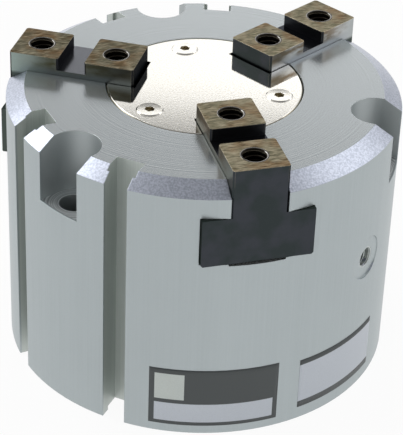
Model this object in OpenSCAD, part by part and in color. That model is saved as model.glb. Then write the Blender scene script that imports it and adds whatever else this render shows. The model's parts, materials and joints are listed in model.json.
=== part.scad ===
// Three jaw centric gripper: a piston lifts a wedge cam, and the cam's inclined T-rails push three jaws out.
// The origin is the centre of the mounting face, +Z points up to the jaws, and the front jaw lies along -Y.
// The jaws are drawn closed. Every piece is drawn where it sits in the assembly.

/* [Body] */
// Diameter of the body
body_d = 86; // [84:0.5:104]
// Height of the body without the jaws
body_h = 62; // [60:0.5:76]
// Width of the chamfer round the top, measured across the top face
top_chamfer_w = 4; // [1:0.25:5]
// Height of the chamfer round the top, measured down the side
top_chamfer_h = 2.45; // [1:0.05:5]
// Depth of the shallow channel in the floor of a T-slot
slot_relief = 0.45; // [0.2:0.05:0.8]
// Small chamfer round the mounting face
base_chamfer = 0.2; // [0.1:0.1:1]

/* [Jaws] */
// Width of a jaw where it stands out of the body
jaw_w = 12; // [9:0.5:15]
// Height of the jaw blocks above the body
jaw_rise = 4; // [2:0.5:8]
// Length of each block, along the jaw
block_l = 11; // [9:0.5:13.5]
// Width of the key groove between the blocks
key_w = 6; // [4:0.5:8]
// Depth of the key groove
key_depth = 2.8; // [2:0.1:3.5]
// Distance from the jaws' outer faces to the body's surface
jaw_inset = 0.5; // [0.2:0.1:3]
// Travel of each jaw
jaw_stroke = 8; // [4:0.5:9.6]
// Width of the foot that slides in the T-slot
foot_w = 24; // [20:0.5:28]
// Height of the foot
foot_h = 11; // [9:0.5:12]
// Depth of the foot's top below the body's top
foot_drop = 7; // [6.5:0.1:8.5]
// Running gap on each side of the jaws in the T-slots
slide_gap = 0.08; // [0.02:0.01:0.15]
// Edge chamfer on the jaw blocks and the foot
jaw_chamfer = 0.4; // [0.2:0.1:0.8]
// Core diameter of the thread that takes a gripping finger (M6)
finger_thread_d = 5; // [4.2:0.1:6]
// Lead-in chamfer of that thread
thread_lead = 0.5; // [0.2:0.1:0.8]
// Depth of that thread from the block's top
finger_thread_l = 10.5; // [8:0.5:10.5]

/* [Wedge] */
// Angle of the wedge faces from the piston's axis
wedge_angle = 45; // [40:1:48]
// Width of the T-rail's narrow part
rail_neck_w = 6; // [4:0.5:7]
// Width of the T-rail's head
rail_head_w = 11; // [9:0.5:11.5]
// Thickness of the T-rail's head
rail_head_t = 2.2; // [1.5:0.1:3]
// Distance from the wedge face to the T-rail's head
rail_neck_t = 1.9; // [1.2:0.1:2.5]
// Running gap between the rail and its groove in the jaw
rail_gap = 0.08; // [0.02:0.01:0.15]
// Diameter of the round core that the rails stand on
core_d = 24.4; // [22:0.2:26]
// Gap round the core and the cam screw's head, and between the open cam and the cover plate
core_gap = 0.3; // [0.2:0.05:0.5]
// Gap between neighbouring jaws when closed
jaw_apart = 2; // [1:0.1:3]

/* [Cover plate] */
// Diameter of the cover plate
cover_d = 42.7; // [40:0.1:46]
// Thickness of the cover plate
cover_t = 3; // [2.4:0.1:3.6]
// Gap between the plate and the wall of its seat
cover_gap = 0.2; // [0.1:0.05:0.4]
// Gap between the plate and each side of a jaw
cover_slot_gap = 0.2; // [0.1:0.05:1]
// Gap between the plate and the end of a closed jaw
cover_end_gap = 0.6; // [0.4:0.1:2]
// Chamfer round the plate
cover_chamfer = 0.3; // [0.1:0.1:0.6]
// Circle that the plate's screws lie on
cover_screw_pcd = 33.2; // [32:0.1:35]
// Thread diameter of the plate's screws
cover_screw_d = 3; // [2.5:0.5:3]
// How far the plate screws' heads stand above the plate, and the bevel round them
cover_head_rise = 0.25; // [0.1:0.05:0.4]
// Height of the rim of the plate screws' heads
cover_head_land = 0.2; // [0.1:0.05:0.4]
// Width across flats of the plate screws' sockets
cover_socket_af = 2; // [1.5:0.5:2.5]
// Depth of the plate screws' sockets
cover_socket_depth = 1.1; // [0.8:0.1:1.3]
// Length of the plate's screws
cover_screw_l = 8; // [6:1:9]
// Head diameter of the plate's screws
cover_head_d = 5.8; // [5.2:0.1:6.2]

/* [Mounting holes] */
// Circle that the mounting holes lie on
mount_pcd = 76; // [75:0.5:80]
// Diameter of the mounting holes, for M6 screws
mount_hole_d = 6.6; // [6:0.1:6.8]
// Width of the open-sided counterbores
pocket_w = 11.3; // [10:0.1:12]
// Depth of the counterbores
pocket_depth = 14.1; // [6:0.1:18]
// Diameter of the locating pin hole in the mounting face
pin_hole_d = 5; // [4:0.5:5]
// Depth of the locating pin hole
pin_hole_l = 5; // [4:0.5:8]

/* [Sensor slots] */
// Width of the slots at their mouth
slot_mouth_w = 5.2; // [4.8:0.1:6]
// Width of the slots behind their lips
slot_inner_w = 6.3; // [6:0.1:7]
// Depth of the slots
slot_depth = 7.2; // [6:0.1:7.6]
// Thickness of the lips
slot_lip = 2.7; // [1.5:0.1:3.2]
// Angle between a slot and the mounting hole beside it
slot_spread = 20; // [18:1:24]

/* [Air ports] */
// Core diameter of the port thread (M5)
port_d = 4.2; // [4:0.1:4.6]
// Depth of the port thread
port_l = 7.5; // [6:0.5:8.5]
// Diameter of the spotface round a port
spotface_d = 10; // [9:0.5:13]
// Depth of the spotface at its centre
spotface_depth = 0.4; // [0.2:0.1:0.6]
// Lead-in chamfer of the port thread
port_lead = 0.4; // [0.2:0.05:0.6]
// Diameter of the air passage behind a port
passage_d = 2.4; // [1.5:0.1:2.6]
// Height of the upper port above the mounting face
upper_port_z = 34; // [32:0.1:36]
// Angle between a port and the mounting hole beside it
port_spread = 19.3; // [18:0.1:24]

/* [Cylinder] */
// Bore of the cylinder
bore_d = 63; // [50:0.5:64]
// Thickness of the wall over the piston where the cam's channels are cut
roof_t = 4; // [3.5:0.1:5]
// Depth of the cam's channels below the T-slots
channel_depth = 3.5; // [2.5:0.1:4]
// Diameter of the rod
rod_d = 16; // [12:0.5:16]
// Running gap round the rod and the wear ring
running_gap = 0.05; // [0.02:0.01:0.1]
// Wall of the rod bush
bush_wall = 2; // [1:0.1:2.5]
// Length of the rod bush
bush_l = 5; // [4:0.5:6]
// Wall of the boss that holds the rod bush
boss_wall = 3; // [2:0.1:4]
// Height of the rod seal
seal_h = 2.6; // [2:0.1:2.8]
// Thickness of the rod seal
seal_wall = 3; // [2:0.1:3.5]

/* [End cap] */
// Thickness of the end cap's rim
cap_rim_t = 5.5; // [5:0.1:7]
// Gap between the boss under the end cap and the retaining ring's lugs
cap_boss_gap = 0.8; // [0.5:0.1:3]
// Step in the bore that the end cap seats on
cap_step = 0.3; // [0.2:0.05:0.5]
// Height of the retaining ring's groove above the mounting face
ring_z = 3; // [2.5:0.1:4]
// Thickness of the retaining ring
ring_t = 2; // [1.5:0.1:2.5]
// Depth of the retaining ring's groove
ring_groove = 1.5; // [1:0.1:1.6]
// Radial width of the retaining ring
ring_w = 5.2; // [4:0.1:5.5]
// Width of the retaining ring's opening
ring_opening = 7; // [6:0.5:9]
// Diameter of the retaining ring's lugs
lug_d = 6; // [5:0.5:7]
// How far the lugs reach over the ring's inner edge
lug_overhang = 4; // [3:0.5:5]
// How much of each lug the opening cuts flat
lug_flat = 0.6; // [0.3:0.1:1]
// Diameter of the holes in the lugs
lug_hole_d = 2.5; // [2:0.1:3]
// Section diameter of the end cap's O-ring
cap_oring_d = 2; // [1.5:0.1:2.5]

/* [Piston] */
// Width of the reduced land at each end of the piston
land_l = 1.6; // [1.4:0.1:2]
// Depth of the reduced lands, which keep the air passages open
land_depth = 1.5; // [1:0.1:2]
// Gap between the piston and the bore
piston_gap = 0.3; // [0.2:0.05:0.5]
// Height of the piston seal
piston_seal_h = 3.4; // [2.4:0.1:3.6]
// Thickness of the piston seal
piston_seal_w = 3; // [2:0.1:4]
// Depth of the groove between the piston seal's lips
piston_lip = 0.6; // [0.3:0.1:1]
// Height of the magnet ring
magnet_h = 2.6; // [2:0.1:3]
// Thickness of the magnet ring
magnet_w = 3; // [2:0.1:5]
// Height of the wear ring
wear_h = 2.6; // [2:0.1:3]
// Thickness of the wear ring
wear_w = 1.5; // [1:0.1:2]
// Diameter of the rod's spigot through the piston
spigot_d = 12; // [11:0.5:13]
// Diameter of the spigot's threaded end
spigot_thread_d = 10; // [8:0.5:10]
// Width across flats of the piston nut
nut_af = 16; // [13:0.5:17]
// Height of the piston nut
nut_h = 5; // [4:0.5:6]
// Section diameter of the rod's O-ring
rod_oring_d = 1.1; // [0.8:0.1:1.4]
// How far the bumpers stand out of their grooves
bumper_rise = 1; // [0.5:0.1:1.5]
// Depth of the bumpers' grooves
bumper_sink = 1.5; // [1:0.1:2]
// Radius of the bumper rings
bumper_r = 22; // [20:0.5:24]
// Width of the bumpers
bumper_w = 3; // [2:0.1:4]
// Gap left at the ends of the piston's stroke
end_gap = 0.3; // [0.1:0.05:0.5]

/* [Cam screw] */
// Thread diameter of the cam screw
cam_screw_d = 6; // [5:0.5:6]
// Head diameter of the cam screw
cam_head_d = 10; // [8:0.5:10]
// Head height of the cam screw
cam_head_h = 6; // [4:0.5:6]
// Width across flats of the cam screw's socket
cam_socket_af = 5; // [4:0.5:5]
// How far the cam screw reaches into the rod
cam_screw_grip = 10; // [8:0.5:12]

/* [Hidden] */
$fn = 96;
cut = 1;          // how far cutting bodies run past the faces they cut
fit = 0.05;       // gap round pieces that are pushed into round seats
oring_squeeze = 0.95;  // depth of an O-ring's groove, as a share of its section
jaw_angles = [270, 30, 150];
hole_angles = [90, 210, 330];
slotted_holes = [90, 210];
port_hole_angle = 330;
sqrt3 = sqrt(3);

body_r = body_d / 2;
bore_r = bore_d / 2;
rod_r = rod_d / 2;
mount_r = mount_pcd / 2;

// Heights in the jaws' part of the body
foot_top = body_h - foot_drop;
foot_base = foot_top - foot_h;
cover_base = body_h - cover_t;
channel_base = foot_base - channel_depth;
bore_top = channel_base - roof_t;
boss_base = channel_base - roof_t - bush_l;

// Lengths along a jaw
jaw_outer = body_r - jaw_inset;
jaw_inner = jaw_outer - 2 * block_l - key_w;
jaw_top = body_h + jaw_rise;
tip_u = jaw_apart / sqrt3;
// The feet's angled ends are as far apart as the jaws, or clear of the plate's screws where wide feet reach them
feet_reach_screws = foot_w / sqrt3 > (cover_screw_pcd - cover_screw_d) / 2 - core_gap;
ends_apart = feet_reach_screws ? max(jaw_apart, cover_screw_d + 2 * core_gap) : jaw_apart;
foot_tip = foot_w / 2 / sqrt3 + tip_u / 2;

// Wedge faces: the face moves inward by tan(wedge_angle) for each millimetre of height
slope = tan(wedge_angle);
lift = jaw_stroke / slope;
cam_top = cover_base - core_gap - lift;
cam_base = channel_base + core_gap;
function face_u(z, into = 0) = foot_tip + (foot_top - z) * slope + into / cos(wedge_angle);

// Cylinder and piston
rod_seal_z = bore_top + (roof_t - seal_h) / 2;
cap_base = ring_z + ring_t + fit;
cap_top = cap_base + cap_rim_t;
cap_r = bore_r + cap_step;
piston_base = cap_top + bumper_rise + end_gap;
piston_top = bore_top - bumper_rise - end_gap - lift;
piston_r = bore_r - piston_gap;
recess_base = boss_base - end_gap - lift;
boss_r = rod_r + running_gap + bush_wall + fit + boss_wall;
bush_r = rod_r + running_gap + bush_wall;
nut_base = piston_base + end_gap;
lug_circle = bore_r + cap_step + ring_groove - fit - ring_w + lug_d / 2 - lug_overhang;
cap_boss_r = lug_circle - lug_d / 2 - cap_boss_gap;
lug_angle = asin((ring_opening / 2 + lug_d / 2 - lug_flat) / lug_circle);
lower_port_z = (cap_top + piston_base + land_l) / 2;
groove_space = piston_top - piston_base - 2 * land_l - piston_seal_h - magnet_h - wear_h;
web = groove_space / 4;
seal_z = piston_base + land_l + web;
magnet_z = seal_z + piston_seal_h + web;
wear_z = magnet_z + magnet_h + web;

// A cylinder of radius r between two heights
module disc(r, z_low, z_high) {
    translate([0, 0, z_low]) cylinder(r = r, h = z_high - z_low);
}

// A ring between two radii and two heights
module ring(r_in, r_out, z_low, z_high) {
    rotate_extrude() translate([r_in, z_low]) square([r_out - r_in, z_high - z_low]);
}

// An outline drawn in the plane through a jaw (distance out, height), given a width across it
module across(width) {
    rotate([90, 0, 0]) linear_extrude(height = width, center = true) children();
}

// A bar along a jaw's radius, between two distances out and two heights
module bar(u_low, u_high, width, z_low, z_high) {
    translate([u_low, -width / 2, z_low]) cube([u_high - u_low, width, z_high - z_low]);
}

// A strip parallel to the wedge face, between two depths into the jaw
module wedge_strip(width, from, to, z_low, z_high) {
    across(width) polygon([
        [face_u(z_low, from), z_low], [face_u(z_low, to), z_low],
        [face_u(z_high, to), z_high], [face_u(z_high, from), z_high]]);
}

/* Body */

module body_blank() {
    rotate_extrude() polygon([
        [0, 0], [body_r - base_chamfer, 0], [body_r, base_chamfer], [body_r, body_h - top_chamfer_h],
        [body_r - top_chamfer_w, body_h], [0, body_h]]);
}

module piston_chamber() {
    difference() {
        disc(bore_r, cap_top - cut, bore_top);
        disc(boss_r, boss_base, bore_top + cut);
    }
    disc(cap_r, -cut, cap_top);
    ring(cap_r - cut, bore_r + cap_step + ring_groove, ring_z, cap_base);
}

module rod_passage() {
    disc(bush_r + fit, boss_base - cut, boss_base + bush_l);
    disc(rod_r + core_gap, boss_base, channel_base + cut);
    disc(rod_r + running_gap + seal_wall, rod_seal_z - fit, rod_seal_z + seal_h + fit);
}

module jaw_slot() {
    bar(0, body_r + cut, jaw_w + 2 * slide_gap, foot_top, body_h + cut);
    bar(0, body_r + cut, foot_w + 2 * slide_gap, foot_base - slide_gap, foot_top + slide_gap);
    bar(0, body_r + cut, jaw_w + 2 * slide_gap, foot_base - slot_relief, foot_top);
    bar(0, face_u(cam_base, rail_neck_t + rail_head_t) + core_gap, jaw_w + 2 * slide_gap,
        channel_base, foot_top);
}

module mount_pocket() {
    translate([mount_r, 0, body_h - pocket_depth]) cylinder(d = pocket_w, h = pocket_depth + cut);
    bar(mount_r, body_r + cut, pocket_w, body_h - pocket_depth, body_h + cut);
    translate([mount_r, 0, -cut]) cylinder(d = mount_hole_d, h = body_h);
}

module sensor_slot() {
    bar(body_r - slot_depth, body_r - slot_lip, slot_inner_w, -cut, body_h + cut);
    bar(body_r - slot_depth, body_r + cut, slot_mouth_w, -cut, body_h + cut);
}

module air_port(z) {
    translate([0, 0, z]) rotate([0, 90, 0]) {
        translate([0, 0, body_r - port_l]) cylinder(d = port_d, h = port_l + cut);
        translate([0, 0, body_r - spotface_depth - port_lead])
            cylinder(d1 = port_d, d2 = port_d + 2 * port_lead, h = port_lead);
        translate([0, 0, body_r - spotface_depth]) cylinder(d = spotface_d, h = spotface_depth + cut);
        translate([0, 0, bore_r - land_depth]) cylinder(d = passage_d, h = body_r - bore_r);
    }
}

module cover_seat() {
    disc(cover_d / 2 + cover_gap, cover_base, body_h + cut);
    disc(core_d / 2 + core_gap, channel_base, cover_base + cut);
    for (a = hole_angles) rotate([0, 0, a])
        translate([cover_screw_pcd / 2, 0, body_h - cover_screw_l - cut])
            cylinder(d = cover_screw_d + 2 * fit, h = cover_screw_l);
}

module body() {
    color("lightsteelblue") difference() {
        body_blank();
        piston_chamber();
        rod_passage();
        cover_seat();
        upper_bumper_ring(bumper_sink + cut, fit);
        for (a = jaw_angles) rotate([0, 0, a]) jaw_slot();
        for (a = hole_angles) rotate([0, 0, a]) mount_pocket();
        for (a = slotted_holes, side = [-1, 1]) rotate([0, 0, a + side * slot_spread]) sensor_slot();
        rotate([0, 0, port_hole_angle - port_spread]) air_port(upper_port_z);
        rotate([0, 0, port_hole_angle + port_spread]) air_port(lower_port_z);
        rotate([0, 0, jaw_angles[0]]) translate([mount_r, 0, -cut])
            cylinder(d = pin_hole_d, h = pin_hole_l + cut);
    }
}

/* Cover plate */

module cover_screw_places() {
    for (a = hole_angles) rotate([0, 0, a]) translate([cover_screw_pcd / 2, 0, body_h]) children();
}

module cover_plate() {
    slot_start = jaw_inner - cover_end_gap;
    slot_w = jaw_w + 2 * cover_slot_gap;
    color("silver") difference() {
        rotate_extrude() polygon([
            [0, cover_base], [cover_d / 2, cover_base], [cover_d / 2, body_h - cover_chamfer],
            [cover_d / 2 - cover_chamfer, body_h], [0, body_h]]);
        for (a = jaw_angles) rotate([0, 0, a])
            bar(slot_start, body_r, slot_w, cover_base - cut, body_h + cut);
        cover_screw_places() countersink(fit);
    }
}

// The space of a countersunk head and its shank, with a gap round it
module countersink(gap) {
    head_r = cover_head_d / 2 + gap;
    shank_r = cover_screw_d / 2 + gap;
    rotate_extrude() polygon([
        [0, cut], [head_r, cut], [head_r, -cover_head_land], [shank_r, shank_r - head_r - cover_head_land],
        [shank_r, -cover_t - cut], [0, -cover_t - cut]]);
}

module cover_screws() {
    head_r = cover_head_d / 2;
    shank_r = cover_screw_d / 2;
    color("gainsboro") cover_screw_places() difference() {
        rotate_extrude() polygon([
            [0, cover_head_rise], [head_r - cover_head_rise, cover_head_rise], [head_r, 0],
            [head_r, -cover_head_land], [shank_r, shank_r - head_r - cover_head_land],
            [shank_r, -cover_screw_l], [0, -cover_screw_l]]);
        translate([0, 0, cover_head_rise - cover_socket_depth]) rotate([0, 0, 30])
            cylinder(d = cover_socket_af / cos(30), h = cover_socket_depth + cut, $fn = 6);
    }
}

/* End cap and its ring */

module end_cap() {
    groove_h = cap_oring_d + 2 * fit;
    groove_z = cap_base + (cap_rim_t - groove_h) / 2;
    color("lightsteelblue") difference() {
        union() {
            disc(cap_r - fit, cap_base, cap_top);
            disc(cap_boss_r, base_chamfer, cap_top);
        }
        ring(cap_r - 2 * fit - cap_oring_d * oring_squeeze, cap_r + cut, groove_z, groove_z + groove_h);
        lower_bumper_ring(bumper_sink + cut, fit);
    }
}

module cap_oring() {
    seal_r = cap_oring_d / 2 - fit;
    color("dimgray") rotate_extrude()
        translate([cap_r - fit - seal_r, cap_base + cap_rim_t / 2]) circle(r = seal_r);
}

module lug_places() {
    for (side = [-1, 1]) rotate([0, 0, 90 + side * lug_angle])
        translate([lug_circle, 0, ring_z]) children();
}

module retaining_ring() {
    ring_r = bore_r + cap_step + ring_groove - fit;
    color("darkgray") difference() {
        union() {
            ring(ring_r - ring_w, ring_r, ring_z, ring_z + ring_t);
            lug_places() cylinder(d = lug_d, h = ring_t);
        }
        rotate([0, 0, 90]) bar(0, body_r, ring_opening, ring_z - cut, cap_base + cut);
        lug_places() translate([0, 0, -cut]) cylinder(d = lug_hole_d, h = ring_t + 2 * cut);
    }
}

/* Rod bush, rod seal and bumpers */

module rod_bush() {
    color("peru") ring(rod_r + running_gap, bush_r, boss_base, boss_base + bush_l);
}

// A lip seal: a ring with a groove in the face that the pressure acts on
module rod_seal() {
    seal_in = rod_r + running_gap;
    lip_w = seal_wall / 3;
    color("dimgray") difference() {
        ring(seal_in, seal_in + seal_wall - fit, rod_seal_z, rod_seal_z + seal_h);
        ring(seal_in + lip_w, seal_in + 2 * lip_w, rod_seal_z - cut, rod_seal_z + seal_h / 2);
    }
}

module upper_bumper_ring(sink, gap = 0) {
    ring(bumper_r - bumper_w / 2 - gap, bumper_r + bumper_w / 2 + gap, bore_top - bumper_rise,
        bore_top + min(sink, bumper_sink));
}

module lower_bumper_ring(sink, gap = 0) {
    ring(bumper_r - bumper_w / 2 - gap, bumper_r + bumper_w / 2 + gap,
        cap_top - min(sink, bumper_sink), cap_top + bumper_rise);
}

module upper_bumper() {
    color("dimgray") upper_bumper_ring(bumper_sink);
}

module lower_bumper() {
    color("dimgray") lower_bumper_ring(bumper_sink);
}

/* Piston */

module piston_groove(z, h, w) {
    ring(piston_r - w, bore_r + cut, z - fit, z + h + fit);
}

module piston() {
    color("lightblue") difference() {
        disc(piston_r, piston_base, piston_top);
        ring(piston_r - land_depth, bore_r + cut, piston_base - cut, piston_base + land_l);
        ring(piston_r - land_depth, bore_r + cut, piston_top - land_l, piston_top + cut);
        disc(boss_r + piston_gap, recess_base, piston_top + cut);
        disc(spigot_d / 2 + fit, piston_base - cut, piston_top + cut);
        disc(nut_af / 2 / cos(30) + 1, piston_base - cut, nut_base + nut_h);
        piston_groove(seal_z, piston_seal_h, piston_seal_w);
        piston_groove(magnet_z, magnet_h, magnet_w);
        piston_groove(wear_z, wear_h, wear_w);
    }
}

// A lip seal for the piston, with a shallow groove in its outer face
module piston_seal() {
    inner = piston_r - piston_seal_w + fit;
    outer = bore_r - running_gap;
    seal_top = seal_z + piston_seal_h;
    color("dimgray") rotate_extrude() polygon([
        [inner, seal_z], [outer - piston_lip, seal_z], [outer, seal_z + piston_lip],
        [outer - piston_lip, seal_z + piston_seal_h / 2], [outer, seal_top - piston_lip],
        [outer - piston_lip, seal_top], [inner, seal_top]]);
}

module wear_ring() {
    color("peru") ring(piston_r - wear_w + fit, bore_r - running_gap, wear_z, wear_z + wear_h);
}

module magnet_ring() {
    color("black") ring(piston_r - magnet_w + fit, piston_r, magnet_z, magnet_z + magnet_h);
}

/* Rod, nut, cam and cam screw */

module piston_rod() {
    oring_z = (nut_base + nut_h + recess_base) / 2;
    color("gray") difference() {
        union() {
            disc(rod_r, recess_base, cam_base);
            disc(spigot_d / 2, nut_base + nut_h, recess_base);
            disc(spigot_thread_d / 2, nut_base - fit, nut_base + nut_h + fit);
        }
        ring(spigot_d / 2 - rod_oring_d * oring_squeeze - fit, spigot_d, oring_z - rod_oring_d / 2 - fit,
            oring_z + rod_oring_d / 2 + fit);
        disc(cam_screw_d / 2 + fit, cam_base - cam_screw_grip - cut, cam_base + cut);
    }
}

module rod_oring() {
    seal_r = rod_oring_d / 2 - fit;
    color("dimgray") rotate_extrude()
        translate([spigot_d / 2 - seal_r, (nut_base + nut_h + recess_base) / 2]) circle(r = seal_r);
}

module piston_nut() {
    color("gray") difference() {
        translate([0, 0, nut_base]) cylinder(d = nut_af / cos(30), h = nut_h, $fn = 6);
        disc(spigot_thread_d / 2 + fit, nut_base - cut, nut_base + nut_h + cut);
    }
}

// The cam: a round core that runs in the body's centre, and a web with an inclined T-rail for each jaw
module wedge_cam() {
    color("slategray") difference() {
        union() {
            intersection() {
                disc(core_d / 2, cam_base, cam_top);
                for_all_jaws() cam_wedge(4 * core_d, -core_d);
            }
            for (a = jaw_angles) rotate([0, 0, a]) cam_rail();
        }
        disc(cam_screw_d / 2 + fit, cam_base - cut, cam_top + cut);
        disc(cam_head_d / 2 + core_gap, cam_top - cam_head_h - core_gap, cam_top + cut);
    }
}

// The part that lies inside every jaw's outline at once
module for_all_jaws() {
    intersection() {
        rotate([0, 0, jaw_angles[0]]) children();
        rotate([0, 0, jaw_angles[1]]) children();
        rotate([0, 0, jaw_angles[2]]) children();
    }
}

// The cam's side of one wedge face, from a distance along the jaw out to the face
module cam_wedge(width, from) {
    across(width) polygon([
        [from, cam_base], [face_u(cam_base, -rail_gap), cam_base],
        [face_u(cam_top, -rail_gap), cam_top], [from, cam_top]]);
}

module cam_rail() {
    cam_wedge(rail_head_w, core_d / 4);
    wedge_strip(rail_neck_w, -rail_neck_t, rail_neck_t + rail_head_t / 2, cam_base, cam_top);
    wedge_strip(rail_head_w, rail_neck_t, rail_neck_t + rail_head_t, cam_base, cam_top);
}

module cam_screw() {
    seat = cam_top - cam_head_h - core_gap;
    color("black") difference() {
        union() {
            disc(cam_screw_d / 2, cam_base - cam_screw_grip, seat + fit);
            disc(cam_head_d / 2, seat, seat + cam_head_h);
        }
        translate([0, 0, seat + cam_head_h / 2])
            cylinder(d = cam_socket_af / cos(30), h = cam_head_h, $fn = 6);
    }
}

/* Jaws */

// A bar with its four upright edges chamfered
module chamfered_bar(u_low, u_high, width, z_low, z_high) {
    half = width / 2;
    c = jaw_chamfer;
    translate([0, 0, z_low]) linear_extrude(height = z_high - z_low) polygon([
        [u_low + c, -half], [u_high - c, -half], [u_high, -half + c], [u_high, half - c],
        [u_high - c, half], [u_low + c, half], [u_low, half - c], [u_low, -half + c]]);
}

// The foot, with its lower outer corners chamfered and its inner end cut to the wedge face
module jaw_foot() {
    half = foot_w / 2;
    c = jaw_chamfer;
    intersection() {
        rotate([90, 0, 90]) linear_extrude(height = jaw_outer) polygon([
            [-half + c, foot_base], [half - c, foot_base], [half, foot_base + c], [half, foot_top],
            [-half, foot_top], [-half, foot_base + c]]);
        across(2 * foot_w) polygon([
            [face_u(foot_base - cut), foot_base - cut], [jaw_outer, foot_base - cut],
            [jaw_outer, foot_top + cut], [face_u(foot_top + cut), foot_top + cut]]);
        translate([ends_apart / sqrt3, 0, foot_base - cut]) linear_extrude(height = foot_h + 2 * cut) polygon([
            [0, 0], [jaw_outer, -jaw_outer * sqrt3], [jaw_outer, jaw_outer * sqrt3]]);
    }
}

module finger_thread() {
    core_r = finger_thread_d / 2;
    rotate_extrude() polygon([
        [0, cut], [core_r + thread_lead + cut, cut], [core_r + thread_lead, 0], [core_r, -thread_lead],
        [core_r, -finger_thread_l], [0, -finger_thread_l - core_r * tan(30)]]);
}

module jaw() {
    key_start = jaw_inner + block_l;
    key_floor = jaw_top - key_depth;
    difference() {
        union() {
            jaw_foot();
            chamfered_bar(jaw_inner, key_start, jaw_w, foot_top - fit, jaw_top);
            chamfered_bar(jaw_inner, jaw_outer, jaw_w, foot_top - fit, key_floor);
            chamfered_bar(key_start + key_w, jaw_outer, jaw_w, foot_top - fit, jaw_top);
        }
        wedge_strip(rail_neck_w + 2 * rail_gap, -foot_h, rail_neck_t + rail_head_t / 2, foot_base - cut,
            foot_top + cut);
        wedge_strip(rail_head_w + 2 * rail_gap, rail_neck_t - rail_gap, rail_neck_t + rail_head_t + rail_gap,
            foot_base - cut, foot_top + cut);
        for (u = [jaw_inner + block_l / 2, jaw_outer - block_l / 2])
            translate([u, 0, jaw_top]) finger_thread();
    }
}

module jaw_front() {
    color("dimgray") rotate([0, 0, jaw_angles[0]]) jaw();
}

module jaw_right() {
    color("dimgray") rotate([0, 0, jaw_angles[1]]) jaw();
}

module jaw_left() {
    color("dimgray") rotate([0, 0, jaw_angles[2]]) jaw();
}

body();
cover_plate();
cover_screws();
end_cap();
cap_oring();
retaining_ring();
rod_bush();
rod_seal();
upper_bumper();
lower_bumper();
piston();
piston_seal();
wear_ring();
magnet_ring();
piston_rod();
rod_oring();
piston_nut();
wedge_cam();
cam_screw();
jaw_front();
jaw_right();
jaw_left();
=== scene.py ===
import bpy
import bmesh
import json
import math
from mathutils import Matrix, Vector


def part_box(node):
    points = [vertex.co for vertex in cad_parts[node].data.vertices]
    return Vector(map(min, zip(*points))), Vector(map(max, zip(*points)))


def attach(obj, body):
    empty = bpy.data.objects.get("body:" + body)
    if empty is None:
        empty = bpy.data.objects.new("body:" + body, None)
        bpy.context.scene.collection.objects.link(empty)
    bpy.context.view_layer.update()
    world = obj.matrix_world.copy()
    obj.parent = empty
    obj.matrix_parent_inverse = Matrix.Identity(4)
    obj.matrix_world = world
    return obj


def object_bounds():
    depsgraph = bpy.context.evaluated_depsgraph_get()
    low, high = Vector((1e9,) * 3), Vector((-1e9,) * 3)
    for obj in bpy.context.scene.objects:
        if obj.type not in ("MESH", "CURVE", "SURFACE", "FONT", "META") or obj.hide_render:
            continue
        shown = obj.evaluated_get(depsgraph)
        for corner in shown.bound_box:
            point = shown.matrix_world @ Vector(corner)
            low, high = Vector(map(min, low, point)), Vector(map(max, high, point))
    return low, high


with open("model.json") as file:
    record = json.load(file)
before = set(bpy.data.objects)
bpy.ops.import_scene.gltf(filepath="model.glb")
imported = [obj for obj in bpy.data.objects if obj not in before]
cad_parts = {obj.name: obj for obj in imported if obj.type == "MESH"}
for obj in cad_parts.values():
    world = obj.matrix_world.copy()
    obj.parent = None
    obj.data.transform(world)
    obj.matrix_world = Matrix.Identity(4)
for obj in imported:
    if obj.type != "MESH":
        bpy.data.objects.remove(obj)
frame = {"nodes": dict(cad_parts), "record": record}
cadLow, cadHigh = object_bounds()
mm = 0.001

bodyLow, bodyHigh = (Vector(corner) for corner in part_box("body"))
bodyRadius = (bodyHigh.x - bodyLow.x) / 2
bodyTop = bodyHigh.z
jawTop = cadHigh.z
mounts = {mount["name"]: mount for mount in frame["record"]["mounts"]}
jawBodies = {"jaw_front": "front_jaw", "jaw_right": "right_jaw", "jaw_left": "left_jaw"}
# degrees round the axis where the cover screws and the mounting holes stand, between the jaws
boltAngles = (90, 210, 330)
# a face this little under a top still belongs to it
topDepth = 0.2 * mm
# most of a noise's values lie between these
noiseLow, noiseHigh = 0.3, 0.7
bevelSamples = 6
print("frame loaded, body radius %.1f mm, height %.1f mm" % (bodyRadius / mm, bodyTop / mm))


def toLinear(hexColour):
    channels = [int(hexColour[i:i + 2], 16) / 255 for i in (1, 3, 5)]
    return tuple(c / 12.92 if c <= 0.04045 else ((c + 0.055) / 1.055) ** 2.4 for c in channels) + (1.0,)


# every colour among a piece's values
def toTones(values):
    return {name: toLinear(value) for name, value in values.items() if isinstance(value, str)}


# each input, found by its name or its place among the live ones, takes a value, a socket or a node's output
def addNode(tree, kind, inputs=None, **settings):
    node = tree.nodes.new(kind)
    for name, value in settings.items():
        setattr(node, name, value)
    live = [socket for socket in node.inputs if socket.enabled]
    for key, value in (inputs or {}).items():
        socket = live[key] if isinstance(key, int) else next(s for s in live if s.name == key)
        if isinstance(value, bpy.types.Node):
            value = next(output for output in value.outputs if output.enabled)
        if isinstance(value, bpy.types.NodeSocket):
            tree.links.new(value, socket)
        else:
            socket.default_value = value
    return node


def emptyTree(owner):
    owner.use_nodes = True
    owner.node_tree.nodes.clear()
    return owner.node_tree


def addObject(name, data):
    item = bpy.data.objects.new(name, data)
    bpy.context.scene.collection.objects.link(item)
    return item


# a noise with grains about size metres across, drawn out by the given factors along x, y and z
def addGrain(tree, place, size, stretch=(1, 1, 1), detail=2.0, roughness=0.5):
    scale = tuple(1 / (size * factor) for factor in stretch)
    scaled = addNode(tree, "ShaderNodeVectorMath", {0: place, 1: scale}, operation="MULTIPLY")
    return addNode(tree, "ShaderNodeTexNoise",
                   {"Vector": scaled, "Scale": 1.0, "Detail": detail, "Roughness": roughness})


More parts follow.
